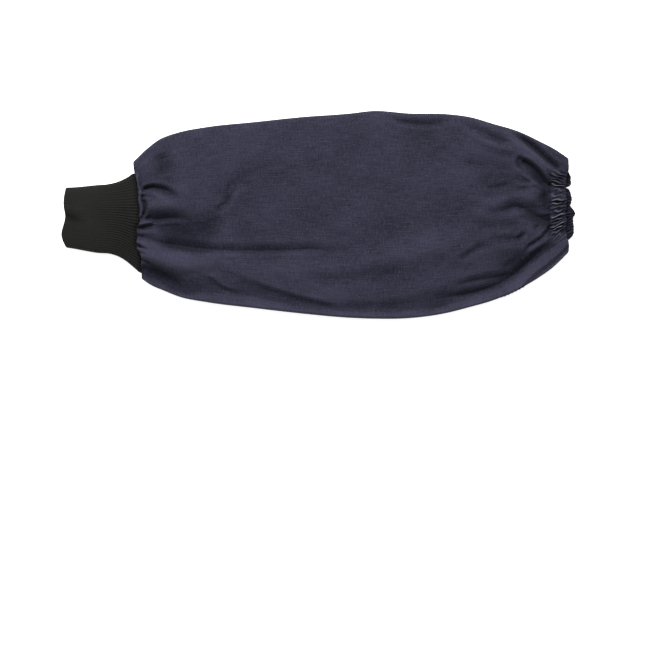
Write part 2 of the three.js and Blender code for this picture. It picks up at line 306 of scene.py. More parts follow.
# The rim's outer side is rounded, the cloth climbs from its inner side, and a painted highlight along the
# rim fades inwards
RIM_ROUNDING = 1.8
RIM_CLIMB = 1.3
RIM_PAINTED_HIGHLIGHT = 3.6
RIM_HIGHLIGHT_FADE = 0.7
BODY_FOLDS = (
    # The puff beside the cuff seam, with a curved crease above it and a valley below
    Fold(((-157, 21), (-150, 23.5), (-145, 23.5), (-136, 21), (-128, 16), (-119, 8)),
         1.7, -4.4, spread=2.4, skew=0.15, fade_in=0.1, fade_out=0.5),
    Fold(((-150, 12), (-138, 10), (-112, 6)), 8.0, 2.4, fade_out=0.8, crisp=2.0),
    Fold(((-155, -3), (-146, -4.5), (-128, -3.5), (-110, -6)),
         3.4, -4.4, skew=-0.45, fade_in=0.1, fade_out=0.6),
    Fold(((-160, -9.5), (-152, -8), (-144, -6.5)), 1.7, 2.8, skew=-0.3, fade_in=0.1, fade_out=0.5),
    # The curled edge of the gathers beside the cuff seam, with a shadow behind it
    Fold(((-161.5, 38), (-160.2, 30), (-159.4, 24), (-157.5, 19), (-158.6, 13),
          (-156.2, 6.5), (-156.2, 2), (-158.8, -2.8), (-157.4, -7)),
         1.3, 2.8, fade_in=0.1, fade_out=0.1, crisp=2.0),
    Fold(((-161, 19.5), (-156.5, 18), (-152, 18.5)), 1.2, 1.8, fade_in=0.2, crisp=2.0),
    Fold(((-156, 14), (-154, 8), (-154.2, 3), (-156.5, -1.5)), 1.8, -3.2, fade_in=0.2, fade_out=0.1),
    # Short pleats that start at the cuff seam
    Fold(((-163, -11.5), (-156, -12.5), (-146, -12)), 2.0, -3.4, fade_in=0, fade_out=0.7),
    Fold(((-163, -26.5), (-158, -29), (-151, -32.5)), 1.2, -3.2, fade_in=0, fade_out=0.6),
    Fold(((-163, -29), (-157, -32), (-149, -36)), 1.2, 2.8, fade_in=0, fade_out=0.6, crisp=2.0),
    Fold(((-163, -31), (-158, -34), (-153, -37)), 1.2, -2.8, fade_in=0, fade_out=0.6),
    Fold(((-163, -34), (-157.5, -39.5), (-151, -43), (-141, -47.5)), 1.6, -3.2, fade_in=0, fade_out=0.6),
    # The long narrow valley that runs on from the cuff seam, with a hollow above it and a swell below
    Fold(((-164, -18.5), (-155, -20.5), (-146, -23.5), (-128, -27), (-97, -31), (-55, -32), (-24, -31.5),
          (-9, -31), (7, -32), (34, -35)),
         2.8, -2.7, skew=-0.15, fade_in=0, fade_out=0.3, crisp=1.0),
    Fold(((-146, -25), (-112, -30), (-78, -32)),
         15.0, -6.4, skew=-0.6, fade_out=0.6, crisp=1.1),
    Fold(((-150, -33), (-110, -40), (-50, -49), (10, -51), (60, -52)),
         9.0, 2.0, fade_in=0.15, fade_out=0.3, crisp=2.0),
    # The sharp ridge below it, and the wrinkles along the lower edge
    Fold(((-161, -33), (-150, -37.5), (-146, -38.5), (-137, -41), (-128, -43.5), (-116, -47), (-102, -52)),
         9.0, 4.6, skew=-0.35, fade_in=0.05, crisp=1.2),
    Fold(((-157, -43), (-146, -49.5), (-134, -57), (-122, -63), (-112, -68)),
         7.0, -2.6, spread=2.0, skew=0.2, fade_in=0.1, fade_out=0.35),
    Fold(((-103, -51.5), (-93, -56), (-86, -62), (-76, -66), (-66, -67)), 3.2, 2.4, skew=-0.5, crisp=1.3),
    Fold(((-82, -49), (-73, -52), (-51, -60), (-22, -69.5), (12, -78.5), (24, -84)),
         6.0, 2.4, skew=-0.6, fade_in=0.35, fade_out=0.2, crisp=1.3),
    Fold(((-4, -66), (30, -74), (80, -70), (110, -60)), 9.0, 1.2, skew=-0.5, crisp=2.0),
    Fold(((-20, -53), (9, -57), (50, -53), (84, -47)), 5.0, -1.2, crisp=1.6),
    Fold(((20, -42), (71, -37), (115, -27), (140, -27)), 11.0, 2.2, skew=-0.2, crisp=2.0),
    Fold(((-141, 55), (-137, 43), (-133, 34)), 6.5, -2.6, crisp=1.8),
    Fold(((-76, 31), (-79, 19), (-83, 9), (-91, 2)), 2.0, -4.2, fade_in=0.4, fade_out=0.2, crisp=1.2),
    Fold(((-86, 0), (-97, -11), (-108, -21)), 8.0, -2.8, crisp=1.8),
    Fold(((-92, 8), (-82, 19), (-67, 31), (-44, 44)), 6.0, -1.5, skew=-0.3, crisp=1.6),
    # The broad swell at the far side of the cuff's end
    Fold(((-140, 46), (-115, 52), (-85, 56), (-45, 60)), 22.0, 0.6, fade_in=0.2, fade_out=0.5, crisp=2.0),
    # The soft wave along the far edge
    Fold(((56, 86), (83, 80.5), (100, 80), (121, 84)), 2.6, -2.8, skew=-0.2),
    Fold(((124, 82), (145, 72.5), (160, 66), (176, 61)), 3.0, -2.4),
    Fold(((137, 67), (161, 58), (179, 54)), 3.0, 1.6, crisp=2.0),
    # The ridge that runs into the hem on the far side, between a sharp crease and a deep pocket
    Fold(((160, 72), (177, 59), (187, 51.5), (196, 45), (205, 38.5), (216, 32)),
         4.8, 3.6, fade_out=0.15, crisp=1.7),
    Fold(((170, 73), (181, 66), (191, 58.5), (202.5, 48), (214, 39)), 2.4, -5.0, fade_out=0.1),
    Fold(((177, 49), (183, 46), (190, 41), (196, 34), (200, 28), (207, 23)),
         3.2, -5.6, skew=0.4, fade_in=0.12, fade_out=0.3, crisp=1.3),
    Fold(((180, 50.5), (176.5, 49), (176, 45), (179.5, 39.5), (187, 33)),
         1.6, -2.8, fade_in=0.1, fade_out=0.6),
    Fold(((178, 37.5), (187, 30), (197, 24), (204, 20)), 1.6, 2.2, crisp=1.6),
    # The plateau beside the hem, and the folds round it
    Fold(((181, 22), (190, 17), (195, 10)), 7.0, 1.8, crisp=2.0),
    Fold(((198, 26), (200.5, 15), (203, 1)), 7.0, -5.4, skew=0.5, fade_in=0.5, fade_out=0.2),
    Fold(((118, 46), (150, 43), (178, 38)), 6.0, -1.8, crisp=1.6),
    Fold(((134, 29), (158, 26), (180, 22)), 9.0, -2.2, crisp=1.8),
    Fold(((146, 22), (156, 24), (170, 27)), 1.8, -1.1, fade_in=0.4, fade_out=0.3),
    Fold(((142, 16), (150, 16.5), (158, 17.5)), 1.8, -1.0),
    Fold(((172, 25), (184, 26), (195, 26)), 1.8, 1.6, crisp=1.6),
    Fold(((136, -12), (160, -10), (188, -7)), 4.5, -2.0, crisp=1.6),
    Fold(((146, -20), (166, -22), (184, -20)), 4.0, -2.0, crisp=1.6),
    Fold(((140, -2), (165, 4), (172, 7), (180, 5.5), (188, 1), (196, -4), (206, -6)),
         4.2, -5.0, spread=1.4, skew=0.1, fade_in=0.5, fade_out=0.03),
    Fold(((195, -9), (191.5, -13), (190, -16)), 2.2, -2.0),
    Fold(((175, -24), (179, -19), (183, -14.5)), 2.0, -2.6),
    Fold(((180, -39), (184, -30), (193, -23.5), (200, -17), (206, -9)), 1.9, -2.8, skew=0.2, fade_out=0.03),
    Fold(((182, -34), (190, -29), (198, -22.5)), 2.4, 1.6, crisp=2.0),
    # The folds that run beside the rim
    Fold(((96, -76), (113, -73), (131, -70.5), (144, -67), (156, -62.5), (167, -57), (176, -50.5),
          (188, -39), (197, -29.5), (203, -21.5)),
         3.8, -2.3, spread=0.7, fade_out=0.25),
    Fold(((108, -65), (123, -62), (138, -58.5), (158, -55), (172, -52)),
         2.8, -2.0, fade_in=0.5, fade_out=0.2),
    Fold(((156, -49), (173, -42), (188, -32)), 9.0, -2.6, crisp=1.6),
    Fold(((123, -43), (130, -36.5), (138, -31), (150, -24)), 2.4, -2.2),
)
CUFF_FOLDS = (
    Fold(((-227, -1), (-215, -4.5), (-203, -8)), 2.8, -1.7, spread=1.8, fade_in=0, fade_out=0.8),
)
GATHERS_AT_CUFF = (
    Gathers(58, 0.9, 3.0, 0.1),
    Gathers(31, 1.2, 8.0, 0.37),
    Gathers(13, 1.4, 24.0, 0.71),
)
GATHERS_AT_HEM = (
    Gathers(29, 1.3, 8.0, 0.25),
    Gathers(11, 1.4, 26.0, 0.6),
)
# Gathers ripple along their length, differ in height and in reach, and have rounded crests
GATHER_RIPPLE = 0.06
GATHER_UNEVENNESS = 0.28
GATHER_REACH_CHANGE = 0.4
GATHER_ROUNDNESS = 0.75
# They are shallow where the edge of the cuff seam is curled up, between these places across
CURL_BEGINS_Y = (-10, -6)
CURL_ENDS_Y = (28, 36)
CURL_LOSS = 0.75
# The gathers of the inner face are not as deep
INNER_GATHERS = 0.8
# The shirring over the elastic: how many crests go round, how deep, and how wide against their pitch
SHIRRS = 62
SHIRR_DEPTH = 3.2
SHIRR_WIDTH = 0.2
SHIRR_ROUNDNESS = 1.6
SHIRR_RIPPLE = 0.16
SHIRR_UNEVENNESS = 0.25
SHIRR_STRAY = (
    Wave(0.35, 5, 0.2),
    Wave(0.25, 11, 0.7),
)
# A crest starts this far past the stitching, and this far before the edge it gets lower by a share
SHIRR_START = 1.4
SHIRR_FADE_IN = 1.2
SHIRR_END = 1.2
SHIRR_FADE_OUT = 3.0
SHIRR_LOSS = 0.6
# The casing of the elastic rises behind the stitching, along an uneven line
CASING_RISE = (-1.0, 2.5)
CASING_STRAY = (
    Wave(1.2, 13, 0.2),
    Wave(0.8, 31, 0.0),
)
# Its crests are painted pale, for wear and as a highlight, and the cloth between them gets painted shade
CREST_WEAR_AND_HIGHLIGHT = 20.0
CASING_SHADE = 3.0
# The hem's edge is drawn in where its cloth dips
EDGE_SCALLOP = 0.5
# The cloth dips along the hem's stitching, more widely before it than behind it
STITCH_GROOVE = 1.2
STITCH_GROOVE_BEFORE = 4.0
STITCH_GROOVE_BEHIND = 1.5
# The turned-in side of the hem gets painted shade, as dark as a deep fold, for the shadow it lies in
HEM_INSIDE_PAINTED_SHADE = -6.0
# How far the cuff's folded end stands back from its longest place, by the place across
CUFF_END_WAVE = (
    Reach(-29, 3.2),
    Reach(-20, 0.0),
    Reach(-2, 3.2),
    Reach(10, 1.8),
    Reach(25, 3.4),
)
CUFF_END_WAVE_REACH = 16.0
# How far the cuff seam is drawn back towards the hem, by the place across
SEAM_WAVE = (
    Reach(-62, 2.0),
    Reach(-52, 2.4),
    Reach(-45, 2.6),
    Reach(-36, 2.9),
    Reach(-31, 0.4),
    Reach(-18, 0.4),
    Reach(-10.5, 1.0),
    Reach(-6.5, 3.9),
    Reach(-2, 3.6),
    Reach(4, 4.0),
    Reach(10, 3.4),
    Reach(17, 3.2),
    Reach(28, 3.0),
    Reach(37, 0.6),
    Reach(42, 0.0),
    Reach(60, 0.0),
)
SEAM_WAVE_REACH = 14.0
# How far the hem's lower layer runs out past the upper one, by the place across
HEM_LOWER_REACH = (
    Reach(-60, 0.0),
    Reach(-23, 0.0),
    Reach(-21, 3.5),
    Reach(-18, 6.0),
    Reach(-10, 6.6),
    Reach(-2, 6.6),
    Reach(0.8, 7.9),
    Reach(3.5, 7.2),
    Reach(7, 4.2),
    Reach(8.1, 3.0),
    Reach(9.7, 3.8),
    Reach(21, 3.2),
    Reach(23.2, 2.2),
    Reach(24.4, 0.0),
    Reach(25.6, 2.4),
    Reach(31.8, 3.8),
    Reach(35, 3.6),
    Reach(38, 1.5),
    Reach(40, 0.0),
    Reach(60, 0.0),
)


def smoothstep(value, low, high):
    """0 below low, 1 above high and a smooth rise between them."""
    share = np.clip((value - low) / (high - low), 0, 1)
    return share * share * (3 - 2 * share)


def smooth_rows(rows, at):
    """Every column of a table, read smoothly at places along its first column."""
    table = np.array(rows, dtype=float)
    places = table[:, 0]
    values = table[:, 1:]
    slopes = np.gradient(values, places, axis=0)
    at = np.clip(at, places[0], places[-1])
    index = np.clip(np.searchsorted(places, at, side="right") - 1, 0, len(places) - 2)
    gap = (places[index + 1] - places[index])[..., None]
    share = (at - places[index])[..., None] / gap
    rest = 1 - share
    start = values[index] * (1 + 2 * share) + slopes[index] * gap * share
    end = values[index + 1] * (1 + 2 * rest) - slopes[index + 1] * gap * rest
    return start * rest**2 + end * share**2


def waves(kinds, turns):
    """The sum of waves round the sleeve, at shares of the way round it."""
    return sum(wave.size * np.sin(2 * math.pi * (wave.count * turns + wave.start)) for wave in kinds)


def around_slope(rings):
    """The change along closed rings at each point, where the last point repeats the first."""
    ring = rings[:, :-1]
    slope = np.roll(ring, -1, axis=1) - np.roll(ring, 1, axis=1)
    return np.concatenate([slope, slope[:, :1]], axis=1)


def flat_tube(sections, turns):
    """Points and outward normals (Y, Z) of flat tubes, at even shares of the way round each of them.

    It also gives the whole way round, and the way to the -Y edge. The way starts in the middle of the
    underside and goes over the +Y edge, the crown and the -Y edge."""
    far, near, crown, edge, floor = (sections[:, [column]] for column in (FAR, NEAR, CROWN, EDGE, FLOOR))
    angle = np.linspace(0, 2 * math.pi, ROUND_STEPS + 1)[None, :]
    upward = -np.cos(angle)
    arch = (crown - edge) * np.maximum(upward, 0) ** CROWN_FULLNESS
    drop = np.minimum(UNDERSIDE_FLATNESS * np.maximum(-upward, 0) ** UNDERSIDE_SQUARENESS, 1)
    fine_y = (far - near) / 2 + (far + near) / 2 * np.sin(angle)
    fine_z = edge + arch - (edge - np.maximum(floor, 0)) * drop
    steps = np.hypot(np.diff(fine_y), np.diff(fine_z))
    runs = np.pad(np.cumsum(steps, axis=1), ((0, 0), (1, 0)))
    y = np.array([np.interp(turns * run[-1], run, row) for run, row in zip(runs, fine_y)])
    z = np.array([np.interp(turns * run[-1], run, row) for run, row in zip(runs, fine_z)])
    slope_y = around_slope(y)
    slope_z = around_slope(z)
    length = np.maximum(np.hypot(slope_y, slope_z), TINY)
    return y, z, slope_z / length, -slope_y / length, runs[:, [-1]], runs[:, [NEAR_EDGE_STEP]]


def lean(x, y, z):
    """X moved by the skew and waves of the cuff seam and by the uneven reach of the hem's two layers."""
    from_seam = np.abs(x - SEAM_X)
    skew = SEAM_LEAN * y * (1 - smoothstep(from_seam, 0, SEAM_LEAN_REACH))
    wave = smooth_rows(SEAM_WAVE, y)[..., 0] * (1 - smoothstep(from_seam, 0, SEAM_WAVE_REACH))
    hem_share = smoothstep(x, HEM_REACH_START_X, STITCH_X)
    below = np.maximum(1 - z / HEM_SIDE_HEIGHT, 0)
    above = np.maximum(z / HEM_SIDE_HEIGHT - 1, 0)
    reach = smooth_rows(HEM_LOWER_REACH, y)[..., 0] * below - HEM_DRAWN_BACK * above
    return x - skew + wave + reach * hem_share


def along_path(path, x, y):
    """The nearest place on a smooth line: its share of the way along, and the distance to its left."""
    points = np.array(path, dtype=float)
    steps = np.hypot(*np.diff(points, axis=0).T)
    runs = np.concatenate([[0], np.cumsum(steps)])
    fine = smooth_rows(np.column_stack([runs, points]), np.linspace(0, runs[-1], PATH_STEPS * len(path)))
    share = np.zeros_like(x)
    offset = np.full_like(x, np.inf)
    for index, (start, end) in enumerate(zip(fine[:-1], fine[1:])):
        run_x, run_y = end - start
        along = ((x - start[0]) * run_x + (y - start[1]) * run_y) / (run_x**2 + run_y**2)
        along = np.clip(along, 0, 1)
        off_x = x - start[0] - along * run_x
        off_y = y - start[1] - along * run_y
        distance = np.hypot(off_x, off_y) * np.where(run_x * off_y < run_y * off_x, -1, 1)
        closer = np.abs(distance) < np.abs(offset)
        offset = np.where(closer, distance, offset)
        share = np.where(closer, (index + along) / (len(fine) - 1), share)
    return share, offset


def fold_rise(folds, x, y):
    """How far all the folds together lift the cloth at each point. Where ridges meet, they level off."""
    x, y = np.broadcast_arrays(x, y)
    total = np.zeros(x.shape)
    for fold in folds:
        margin = FOLD_END * fold.width * max(fold.spread, 1)
        low = np.min(fold.path, axis=0) - margin
        high = np.max(fold.path, axis=0) + margin
        near = (x > low[0]) & (x < high[0]) & (y > low[1]) & (y < high[1])
        share, offset = along_path(fold.path, x[near], y[near])
        width = fold.width * (1 + (fold.spread - 1) * share) * (1 - fold.skew * np.sign(offset))
        distance = np.abs(offset) / width
        start_fade = smoothstep(share, 0, fold.fade_in) if fold.fade_in > 0 else 1.0
        end_fade = 1 - smoothstep(share, 1 - fold.fade_out, 1)
        shoulder = FOLD_SHOULDER * np.exp(-((distance - FOLD_SHOULDER_PLACE) ** 2))
        total[near] += fold.rise * start_fade * end_fade * (np.exp(-(distance**fold.crisp)) - shoulder)
    return np.where(total > 0, FOLD_LIMIT * np.tanh(total / FOLD_LIMIT), total)


def gather_dip(bands, x, turns, distance, share):
    """How deep the gathers from a sewn edge go: rounded crests with narrow valleys below them.

    The sine of a gather's number gives it a height of its own."""
    total = np.zeros(np.broadcast(turns, distance).shape)
    for band in bands:
        stray = waves((Wave(0.45, 3, band.phase), Wave(0.3, 7, -band.phase)), turns)
        ripple = GATHER_RIPPLE * np.sin(0.5 * x + 10 * math.pi * (3 * turns + band.phase))
        place = band.count * turns + band.phase + stray + ripple
        number = np.mod(np.floor(place), band.count)
        crest = 1 - GATHER_UNEVENNESS + GATHER_UNEVENNESS * np.sin(2.4 * number + 1.7 * band.phase)
        valley = 1 - crest * np.abs(np.sin(math.pi * place)) ** GATHER_ROUNDNESS
        reach = band.reach * (1 + waves((Wave(GATHER_REACH_CHANGE, 9, band.phase),), turns))
        total += band.depth * valley * np.exp(-distance / reach)
    return total * share


def shirring(x, turns):
    """The crests over the elastic, from 0 to 1.

    Sines of its number give each crest its own start, end and height."""
    ripple = SHIRR_RIPPLE * np.sin(0.55 * x + 50 * math.pi * turns)
    place = SHIRRS * turns + waves(SHIRR_STRAY, turns) + ripple
    nearest = np.round(place)
    number = np.mod(nearest, SHIRRS)
    start = STITCH_X + SHIRR_START + 1.6 * np.sin(2.4 * number) + 0.8 * np.sin(5.1 * number + 1)
    end = HEM_EDGE_X - SHIRR_END + 0.9 * np.sin(3.7 * number)
    started = smoothstep(x, start - SHIRR_FADE_IN, start + SHIRR_FADE_IN)
    left = 1 - SHIRR_LOSS * smoothstep(x, end - SHIRR_FADE_OUT, end)
    height = 1 - SHIRR_UNEVENNESS + SHIRR_UNEVENNESS * np.sin(1.7 * number + 2)
    profile = np.exp(-((np.abs(place - nearest) / SHIRR_WIDTH) ** SHIRR_ROUNDNESS))
    return height * started * left * profile


def top_share(z, sections):
    """0 at the side edges and below them, 1 over most of the top layer."""
    edge = sections[:, [EDGE]]
    return smoothstep((z - edge) / (sections[:, [CROWN]] - edge), 0, TOP_FULL)


def near_rim(x, y, z, sections):
    """The height of the top layer with the rim along the -Y edge, and how much each point is on it."""
    width, run, low, rise = np.moveaxis(smooth_rows(NEAR_RIM, x), -1, 0)
    inward = np.maximum(y + sections[:, [NEAR]], 0)
    on_rim = np.maximum(1 - inward / width, 0)
    rounding = 1 - np.maximum(1 - inward / RIM_ROUNDING, 0) ** 2
    rim = sections[:, [EDGE]] + np.sqrt(rounding) * (low + rise * on_rim)
    climb = np.clip((width + run - inward) / run, 0, 1)
    share = climb**2 * (1 + RIM_CLIMB - RIM_CLIMB * climb)
    return z + share * (rim - z), on_rim**RIM_HIGHLIGHT_FADE


def seam_middle(x, near_edge):
    """Where the side seam runs, measured round the sleeve."""
    rise = smoothstep(x, *SIDE_SEAM_RISE_X)
    return near_edge + SIDE_SEAM_DROP + (SIDE_SEAM_DROP_AT_HEM - SIDE_SEAM_DROP) * rise


def seam_lap(x, turns, girth, near_edge):
    """1 on the raised strip of the felled side seam, 0 beside it."""
    distance = np.abs(turns * girth - seam_middle(x, near_edge))
    half = SIDE_SEAM_WIDTH / 2
    return 1 - smoothstep(distance, half - SIDE_SEAM_FLANK, half + SIDE_SEAM_FLANK)


def denim_surface(places, sections, lip_share, turns, settings, inset=0.0):
    """Points of the denim at places along it, and how far its folds and gathers lift them, with painted
    shade and highlights added.

    With an inset they are the points of the cloth's other face."""
    x = places[:, None]
    turns = turns[None, :]
    y, z, out_y, out_z, girth, near_edge = flat_tube(sections, turns[0])
    top = top_share(z, sections)
    leaned = lean(x, y, z)
    fold_share = settings.fold_strength * top * smoothstep(HEM_EDGE_X - x, 0, FOLD_FADE_AT_HEM)
    folds = fold_share * fold_rise(BODY_FOLDS, leaned, y)
    rimmed, rim_share = near_rim(x, y, z, sections)
    raised = np.maximum(rimmed + folds, LAYER_GAP)
    z = z + smoothstep(top, 0, FOLDS_FULL) * (raised - z)
    gathered = 1 - smoothstep(np.abs(y - HEM_GATHERED_MIDDLE), *HEM_GATHERED_FADE)
    hem_share = HEM_FAINT_SHARE + (1 - HEM_FAINT_SHARE) * gathered
    curled = smoothstep(y, *CURL_BEGINS_Y) * (1 - smoothstep(y, *CURL_ENDS_Y)) * top
    cuff_share = lip_share[:, None] * (1 - CURL_LOSS * curled)
    dip = gather_dip(GATHERS_AT_CUFF, x, turns, np.maximum(x - SEAM_X, 0), cuff_share)
    dip += gather_dip(GATHERS_AT_HEM, x, turns, np.maximum(STITCH_X - x, 0), hem_share)
    groove_width = np.where(x < STITCH_X, STITCH_GROOVE_BEFORE, STITCH_GROOVE_BEHIND)
    dip += hem_share * STITCH_GROOVE * np.exp(-(((x - STITCH_X) / groove_width) ** 2))
    casing = hem_share * smoothstep(x - STITCH_X - waves(CASING_STRAY, turns), *CASING_RISE)
    crests = shirring(x, turns)
    lap = seam_lap(x, turns, girth, near_edge)
    # The relief also paints the colour: shade in the hollows of folds and gathers and between the casing's
    # crests, highlights on the crests and on the -Y rim, and a darker side seam strip
    relief = folds - dip + casing * (CREST_WEAR_AND_HIGHLIGHT * crests - CASING_SHADE)
    relief += RIM_PAINTED_HIGHLIGHT * rim_share * top - SIDE_SEAM_SHADE * lap
    dip += casing * SHIRR_DEPTH * (1 - crests)
    dip *= settings.gather_strength * (INNER_GATHERS if inset else 1.0)
    outward = -dip - inset
    if not inset:
        outward += SIDE_SEAM_HEIGHT * lap
    y = y + out_y * outward
    z = np.maximum(z + out_z * outward, 0)
    scallop = EDGE_SCALLOP * dip * smoothstep(x, STITCH_X, HEM_EDGE_X)
    return np.stack([leaned - scallop, y, z], axis=-1), relief


def seam_stitches(settings):
    """A matrix for each stitch of the side seam: X along the seam and Z out of the cloth."""
    middles = np.arange(SEAM_X + SEAM_ROW_START, HEM_EDGE_X - SEAM_ROW_END, STITCH_PITCH)
    places = (middles[:, None] + np.array([-0.5, 0.0, 0.5]) * STITCH_LENGTH).ravel()
    sections = smooth_rows(BODY_SECTIONS, places)
    turns = np.linspace(*SEAM_TURNS, SEAM_TURN_STEPS + 1)
    girth, near_edge = (run[:, 0] for run in flat_tube(sections, turns)[-2:])
    points, _ = denim_surface(places, sections, np.ones(len(places)), turns, settings)
    rows = np.arange(len(places))
    matrices = []
    for offset in (-SEAM_ROW_OFFSET, SEAM_ROW_OFFSET):
        turn = (seam_middle(places, near_edge) + offset) / girth
        column = np.rint((turn - turns[0]) / (turns[1] - turns[0])).astype(int)
        ends = points[rows, column].reshape(-1, 3, 3) * MM
        sideways = points[rows, column + SEAM_SIDE_STEPS] - points[rows, column - SEAM_SIDE_STEPS]
        for (start, middle, end), side in zip(ends, sideways.reshape(-1, 3, 3)[:, 1]):
            along = Vector(end - start).normalized()
            out = Vector(side).cross(along).normalized()
            across = out.cross(along)
            matrices.append(Matrix((along, across, out)).transposed().to_4x4())
            matrices[-1].translation = Vector(middle)
    return matrices


def model_stitch():
    """One stitch: a short thread whose ends get thinner and dip into the cloth."""
    radius = STITCH_THICKNESS / 2 * MM
    tip = STITCH_TIP * STITCH_LENGTH * MM
    middle = STITCH_LENGTH * MM - 2 * tip
    bpy.ops.object.select_all(action="DESELECT")
    bpy.ops.mesh.primitive_cylinder_add(
        vertices=STITCH_SIDES, radius=radius, depth=middle, rotation=(0, math.pi / 2, 0)
    )
    piece = bpy.context.object
    bpy.ops.object.transform_apply(rotation=True)
    bpy.ops.object.mode_set(mode="EDIT")
    bpy.ops.mesh.select_mode(type="FACE")
    for side in (-1, 1):
        bpy.ops.mesh.select_all(action="DESELECT")
        shape = bmesh.from_edit_mesh(piece.data)
        for face in shape.faces:
            face.select_set(face.normal.x * side > STITCH_END_FACING)
        bmesh.update_edit_mesh(piece.data)
        bpy.ops.mesh.extrude_region_move(TRANSFORM_OT_translate={"value": (side * tip, 0, -radius)})
        end = (side * (middle / 2 + tip), 0, -radius)
        bpy.ops.transform.resize(value=(1.0, STITCH_THINNING, STITCH_THINNING), center_override=end)
    bpy.ops.object.mode_set(mode="OBJECT")
    bpy.ops.object.shade_smooth()
    return piece


def stations_between(low, high, count, crowding):
    """Places along the sleeve, closer together towards both ends."""
    share = np.linspace(0, 1, count)
    return low + (high - low) * (share - crowding * np.sin(2 * math.pi * share))


def body_faces(turns, settings):
    """The denim body's two faces as rings from the cuff seam to the hem's stitching, and its relief."""
    start_x = SEAM_X + BODY_START
    lip = smooth_rows(CUFF_SECTIONS, np.array([SEAM_X])) + np.array(LIP_MARGIN)
    turn_in = np.sin(np.linspace(0, math.pi / 2, LIP_RINGS + 1)[:-1])

    def face(count, inset):
        places = stations_between(start_x, STITCH_X, count, RING_CROWDING)
        sections = smooth_rows(BODY_SECTIONS, places)
        sections = np.concatenate([lip + (sections[:1] - lip) * turn_in[:, None], sections])
        places = np.concatenate([start_x + LIP_LENGTH * (1 - turn_in), places])
        lip_share = np.concatenate([turn_in, np.ones(count)])
        return places, *denim_surface(places, sections, lip_share, turns, settings, inset)

    return *face(settings.rings, 0.0), *face(settings.rings // INNER_RING_STEP, settings.wall / MM)


def hem_faces(turns, hem, body):
    """The hem's two faces as rings from its stitching to its edge, and its relief."""
    places = np.linspace(STITCH_X + HEM_START, HEM_EDGE_X, hem.rings)
    sections = smooth_rows(BODY_SECTIONS, places)
    outer, relief = denim_surface(places, sections, np.ones(hem.rings), turns, body)
    inner, inner_relief = denim_surface(places, sections, np.ones(hem.rings), turns, body, hem.wall / MM)
    # The inner face gets painted shade
    return places, outer, relief, places, inner, inner_relief + HEM_INSIDE_PAINTED_SHADE


def cuff_faces(turns, settings):
    """The knit cuff's two faces as rings from its folded end to its sewn edge, and its relief with painted
    shade.
    """
    places = np.linspace(CUFF_END_X + CUFF_END_ROUNDING, SEAM_X + CUFF_LAP, settings.rings)
    sections = smooth_rows(CUFF_SECTIONS, places)
    x = places[:, None]
    base_y, base_z, out_y, out_z, *_ = flat_tube(sections, turns)
    rib = np.abs(np.cos(math.pi * settings.ribs * turns))[None, :] ** RIB_FULLNESS
    grown = RIB_FAINT_SHARE + (1 - RIB_FAINT_SHARE) * smoothstep(x, *RIB_GROWTH_X)
    across = 1 - (1 - RIB_FAR_SHARE) * smoothstep(base_y, *RIB_FAR_Y)
    ribs = settings.rib_height / MM * grown * across * (rib - 1)
    crease = top_share(base_z, sections) * fold_rise(CUFF_FOLDS, x, base_y)
    sunk_and_shaded = SEAM_SINK_AND_SHADE * smoothstep(x, SEAM_X - SEAM_SINK_REACH, SEAM_X)
    end_share = 1 - smoothstep(x - CUFF_END_X, 0, CUFF_END_WAVE_REACH)
    back = smooth_rows(CUFF_END_WAVE, base_y)[..., 0] * end_share

    def face(relief):
        y = base_y + out_y * relief
        z = np.maximum(base_z + out_z * relief, 0)
        return np.stack([lean(x + back, base_y, base_z), y, z], axis=-1)

    outer = face(crease + ribs - sunk_and_shaded)
    inner = face(crease - sunk_and_shaded - settings.wall / MM)
    # The outer face's relief for the colour paints shade in the rib grooves, the crease and at the seam
    return places, outer, crease + RIB_SHADE * ribs - sunk_and_shaded, places, inner, crease


def rounded_end(face, other, before, count):
    """Points that turn from one face of a wall to the other, past its end."""
    middle = (face + other) / 2
    half = (face - other) / 2
    ahead = face - before
    size = np.linalg.norm(half, axis=-1, keepdims=True)
    ahead = ahead * size / np.maximum(np.linalg.norm(ahead, axis=-1, keepdims=True), TINY)
    angles = np.linspace(0, math.pi, count + 2)[1:-1]
    return [middle + half * math.cos(angle) + ahead * math.sin(angle) for angle in angles]


